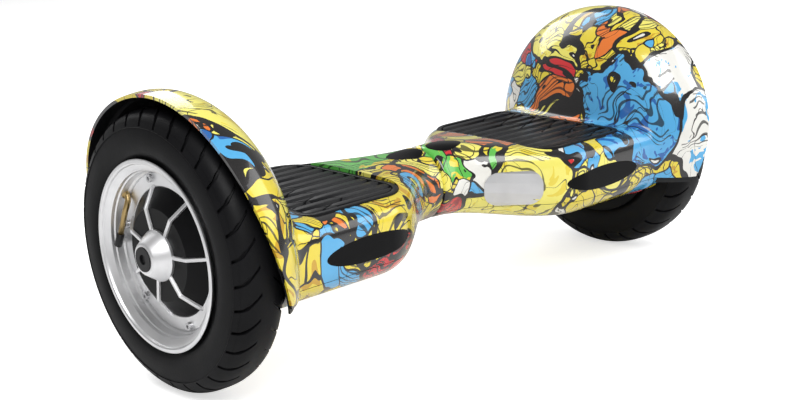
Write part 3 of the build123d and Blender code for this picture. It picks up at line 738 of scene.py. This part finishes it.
def build_tyre():
    """Round shouldered tyre with slanted slots on both shoulders and a ridge on each flank."""
    bead, half = RIM_SEAT_R + 0.5, TYRE_HALF_W
    rows = []
    for k in range(49):
        t = -1 + 2 * k / 48
        reach = (1 - abs(t) ** 2.6) ** (1 / 2.6)
        rows.append((WHEEL_X + half * math.copysign(abs(t) ** 0.9, t), 100 + (TYRE_R - 100.1) * reach))
    side = [(WHEEL_X + half * 0.985, 94.0), (WHEEL_X + half * 0.93, 88.5), (WHEEL_X + half * 0.86, 86.8),
            (WHEEL_X + half * 0.8, 82.0), (WHEEL_X + half * 0.76, bead)]
    inner = [(WHEEL_X + half * 0.5, bead + 3), (WHEEL_X - half * 0.5, bead + 3)]
    outline = rows + side + inner + [(2 * WHEEL_X - x, r) for x, r in reversed(side)]
    tyre = turned("tyre", outline, 240)
    for flank in (-1, 1):
        ridge = [(WHEEL_X + flank * x, r) for x, r in ((22.3, 118.4), (25.2, 113.1), (24.9, 112.6),
                                                      (21.0, 112.6), (21.0, 117.0))]
        cut(tyre, turned("ridge", ridge, 240), "UNION")
    outer = ring_of(tyre_slot(), SLOTS, "outer_slots")
    inner = turned_over(ring_of(tyre_slot(), SLOTS, "inner_slots", math.pi / SLOTS), "inner_slots_over")
    inner.data.transform(Matrix.Translation((2 * WHEEL_X * MM, 0, 0)))
    cut(tyre, outer)
    cut(tyre, inner)
    return tyre


def build_rim():
    """Machined rim: rolled lip, stepped barrel and an inner flange for the motor cover."""
    lip, seat = RIM_LIP_R, RIM_SEAT_R
    back = 2 * WHEEL_X - RIM_LIP_X
    outline = [(268.5, 62.6), (268.5, seat - 4), (back + 0.6, seat - 1), (back, lip - 1), (back + 0.6, lip),
               (back + 1.6, lip), (back + 2.2, lip - 1), (WHEEL_X - 21, seat), (WHEEL_X + 21, seat),
               (RIM_LIP_X - 2.4, lip - 1), (RIM_LIP_X - 1.6, lip - 0.2), (RIM_LIP_X - 0.6, lip - 0.1),
               (RIM_LIP_X, lip - 0.9), (RIM_LIP_X, lip - 3.4), (RIM_LIP_X - 0.8, lip - 4.4),
               (RIM_LIP_X - 2.6, lip - 5.2), (RIM_LIP_X - 3.4, lip - 7.4), (RIM_LIP_X - 6.5, seat - 2.0),
               (RIM_LIP_X - 9.5, seat - 2.4), (RIM_LIP_X - 10.5, seat - 3.4), (306.0, seat - 3.8),
               (302.5, seat - 4.3), (301.2, seat - 5.6), (299.2, seat - 6.2), (298.2, seat - 8.0),
               (297.6, 66.0), (297.2, 62.0), (296.8, 61.0), (291, 61.0), (291, 62.6)]
    rim = turned("rim", outline, 240)
    sharpen(rim, 24)
    for polygon in rim.data.polygons:
        polygon.material_index = 1 if polygon.center.x < (WHEEL_X - 3) * MM else 0
    return rim


def build_cover():
    """Black domed cover; its screw flange, boss and raised ribs are machined bright."""
    shell = turned("cover", [(299.0, 58.2), (300.4, 57.6), (301.6, 56.0), (311.0, 43.6), (312.0, 41.6),
                             (312.0, 22.6), (309.0, 22.6), (309.0, 40.6), (298.0, 55.4)], 160)
    sharpen(shell, 24)
    boss = turned("boss", [(309.0, 10.0), (309.0, 23.0), (314.2, 23.0), (315.0, 22.4), (318.0, 20.6),
                           (326.6, 14.8), (327.6, 13.8), (328.0, 12.8), (328.0, 11.2), (321.5, 11.0),
                           (321.0, 10.0)], 128)
    flange = turned("flange", [(297.0, 70.3), (299.4, 70.3), (300.0, 69.7), (300.0, 58.6), (299.4, 58.0),
                               (297.0, 58.0)], 160)
    for piece in (boss, flange):
        sharpen(piece, 24)
    path = [(311.5, 22.0), (311.5, 42.0), (300.6, 56.6), (299.5, 60.0)]
    rise = [(2.6, 0.0), (2.6, 0.7), (2.2, 1.8), (0.6, 1.0)]
    points = []
    for (x, r), (dx, dr) in zip(path, rise):
        points += [(x - 1, -2.1, r), (x - 1, 2.1, r), (x + dx, 1.5, r + dr), (x + dx, -1.5, r + dr)]
    rib = make_mesh("rib", points, bar_faces(len(path)), False)
    outwards(rib)
    bevel = rib.modifiers.new("bevel", "BEVEL")
    bevel.width = 0.4 * MM
    bevel.segments = 2
    baked(rib)
    return shell, joined("bright", [boss, flange, ring_of(rib, RIBS, "ribs", -math.radians(18))])


def build_valve():
    """Bent brass valve stem from the rim's barrel, with a black cap."""
    turn, x = math.radians(54), 302.5

    def spot(dx, along, radius):
        """A point beside the valve's root, turned with it about the wheel axis."""
        y, z = -along, radius
        c, s = math.cos(turn), math.sin(turn)
        return (x + dx, y * c + z * s, AXIS_Z - y * s + z * c)

    stem = swept("stem", [spot(0, 0, 75.0), spot(0, 0, 72.4), spot(0, 0, 72.3), spot(0.6, 0, 69.6),
                          spot(1.8, -1.6, 66.6), spot(3.2, -5.0, 64.4), spot(4.2, -10.0, 63.0),
                          spot(6.0, -36.0, 56.2)],
                 [4.6, 4.6, 3.4, 2.7, 2.7, 2.7, 2.7, 2.5])
    cap = swept("cap", [spot(5.9, -33.6, 56.9), spot(5.95, -34.2, 56.7), spot(7.2, -45.0, 53.6),
                        spot(7.3, -45.8, 53.4)], [3.3, 3.6, 3.4, 2.4])
    return stem, cap


def joined(name, objects):
    """Several closed meshes as one object."""
    import bmesh
    bm = bmesh.new()
    for obj in objects:
        bm.from_mesh(obj.data)
        bpy.data.objects.remove(obj)
    mesh = bpy.data.meshes.new(name)
    bm.to_mesh(mesh)
    bm.free()
    result = bpy.data.objects.new(name, mesh)
    bpy.context.scene.collection.objects.link(result)
    return result


def swept(name, path, radii, steps=24):
    """A closed round bar along a path of points, with its own radius at each."""
    points = []
    spots = [Vector(p) for p in path]
    for i, spot in enumerate(spots):
        ahead = (spots[min(i + 1, len(spots) - 1)] - spots[max(i - 1, 0)]).normalized()
        side = Vector((1, 0, 0))
        side = (side - ahead * side.dot(ahead)).normalized()
        up = ahead.cross(side)
        for k in range(steps):
            t = 2 * math.pi * k / steps
            points.append(tuple(spot + (side * math.cos(t) + up * math.sin(t)) * radii[i]))
    faces = grid_faces(len(spots), steps) + [tuple(range(steps)),
                                             tuple(range((len(spots) - 1) * steps, len(spots) * steps))]
    obj = make_mesh(name, points, faces)
    outwards(obj)
    return obj


def dress():
    """Gives every CAD node that still shows its own material."""
    slots = {entry["node"]: entry["material_slot"] for entry in frame["record"]["subparts"]}
    for name, obj in frame["nodes"].items():
        material = MATERIALS[slots[name]]
        if not obj.data.materials:
            obj.data.materials.append(material)
        for slot in obj.material_slots:
            slot.material = material


def shells_and_deck():
    top, bottom = build_shells()
    headlight = build_lens("headlight", HEADLIGHT, 0.15)
    status = build_lens("status", STATUS, 0.1)
    mat = build_mat()
    for piece, degrees in ((top, 38), (bottom, 38), (headlight, 40), (status, 40), (mat, 35)):
        sharpen(piece, degrees)
    for shell in (top, bottom):
        mark_inside(shell)
    pieces = {"top_shell": (top, "printed_shell", "half"),
              "bottom_shell": (bottom, "printed_shell", "half"),
              "headlight_lens": (headlight, "gloss_black_lens", "half"),
              "status_lens": (status, "gloss_black_lens", "half"), "foot_mat": (mat, "mat_rubber", "mat")}
    for node, (piece, slot, body) in pieces.items():
        left = mirrored(piece, f"left_{node}_form")
        piece.name = f"right_{node}_form"
        if node == "top_shell":
            for x, radius in CONTROL_HOLES:
                cut(left, cross_bar("hole", x, BULGE_Z, 60, 130, radius))
            sharpen(left, 38)
        second = ("black_plastic",) if slot == "printed_shell" else ()
        finish_piece(left, f"left_{body}", slot, f"left_{node}", extra=second)
        finish_piece(piece, f"right_{body}", slot, f"right_{node}", extra=second)


def wheels():
    tyre, rim = build_tyre(), build_rim()
    sharpen(tyre, 40)
    dark, bright = build_cover()
    stem, cap = build_valve()
    for piece, node, slot in ((tyre, "tyre", "tyre_rubber"), (rim, "rim", "machined_aluminium")):
        left = mirrored(piece, f"left_{node}_form")
        piece.name = f"right_{node}_form"
        second = ("black_painted_metal",) if node == "rim" else ()
        finish_piece(left, "left_wheel", slot, f"left_{node}", extra=second)
        finish_piece(piece, "right_wheel", slot, f"right_{node}", extra=second)
    for side in SIDES:
        for piece, word, slot, node in ((dark, "cover_dark", "black_painted_metal", "motor_cover"),
                                        (bright, "cover_bright", "machined_aluminium", "motor_cover"),
                                        (stem, "valve_stem", "valve_brass", "valve"),
                                        (cap, "valve_cap", "black_plastic", "valve")):
            copy = mirrored(piece, f"{side}_{word}")
            if side == "right":
                copy.data.transform(Matrix.Diagonal((-1, 1, 1, 1)))
                copy.data.flip_normals()
            finish_piece(copy, f"{side}_wheel", slot, f"{side}_{node}")
    for piece in (dark, bright, stem, cap):
        bpy.data.objects.remove(piece)


# ---- stage ---------------------------------------------------------------------------------
def stage():
    far = 9000
    corners = [(-far, -far, 0), (far, -far, 0), (far, far, 0), (-far, far, 0)]
    floor = make_mesh("floor", corners, [(0, 1, 2, 3)])
    paint = Shader("floor_paint", Roughness=0.5, Emission_Strength=0.62)
    paint.feed("Emission Color", paint.add("ShaderNodeLightPath"))
    paint.feed("Base Color", paint.ramp(paint.noise(0.6), (0.3, grey(0.9)), (0.7, grey(0.92))))
    floor.data.materials.append(paint.material)
    world = bpy.data.worlds.new("studio")
    bpy.context.scene.world = world
    world.use_nodes = True
    world.node_tree.nodes["Background"].inputs[0].default_value = grey(1.0)
    path = world.node_tree.nodes.new("ShaderNodeLightPath")
    seen = world.node_tree.nodes.new("ShaderNodeMapRange")
    seen.inputs["To Min"].default_value = 0.3
    world.node_tree.links.new(path.outputs["Is Camera Ray"], seen.inputs["Value"])
    world.node_tree.links.new(seen.outputs[0], world.node_tree.nodes["Background"].inputs[1])
    for name, spot, size, power in (("key", (-0.9, -1.3, 1.9), 1.4, 40.0),
                                    ("fill", (1.6, -1.4, 1.3), 1.6, 19.0),
                                    ("back", (0.3, 1.8, 1.6), 1.6, 27.0)):
        light = bpy.data.lights.new(name, "AREA")
        light.size = size
        light.energy = power
        lamp = bpy.data.objects.new(name, light)
        lamp.location = spot
        lamp.rotation_euler = (Vector((0, 0, 0.1)) - Vector(spot)).to_track_quat("-Z", "Y").to_euler()
        bpy.context.scene.collection.objects.link(lamp)
    bpy.context.scene.view_settings.view_transform = "Standard"


def camera():
    azimuth, elevation, roll = math.radians(-42.26), math.radians(15.03), math.radians(-2.65)
    target = Vector((-0.0400, -0.0127, 0.1198))
    back = Vector((math.sin(azimuth) * math.cos(elevation), -math.cos(azimuth) * math.cos(elevation),
                   math.sin(elevation)))
    right = (-back).cross(Vector((0, 0, 1))).normalized()
    up = right.cross(-back)
    right_turned = right * math.cos(roll) + up * math.sin(roll)
    up_turned = -right * math.sin(roll) + up * math.cos(roll)
    data = bpy.data.cameras.new("camera")
    data.sensor_width = 36.0
    data.lens = 65.14
    data.clip_end = 50
    eye = bpy.data.objects.new("camera", data)
    turn = Matrix((right_turned, up_turned, back)).transposed().to_4x4()
    eye.matrix_world = Matrix.Translation(target + back * 1.4186) @ turn
    bpy.context.scene.collection.objects.link(eye)
    bpy.context.scene.camera = eye


camera()
stage()
dress()
shells_and_deck()
wheels()
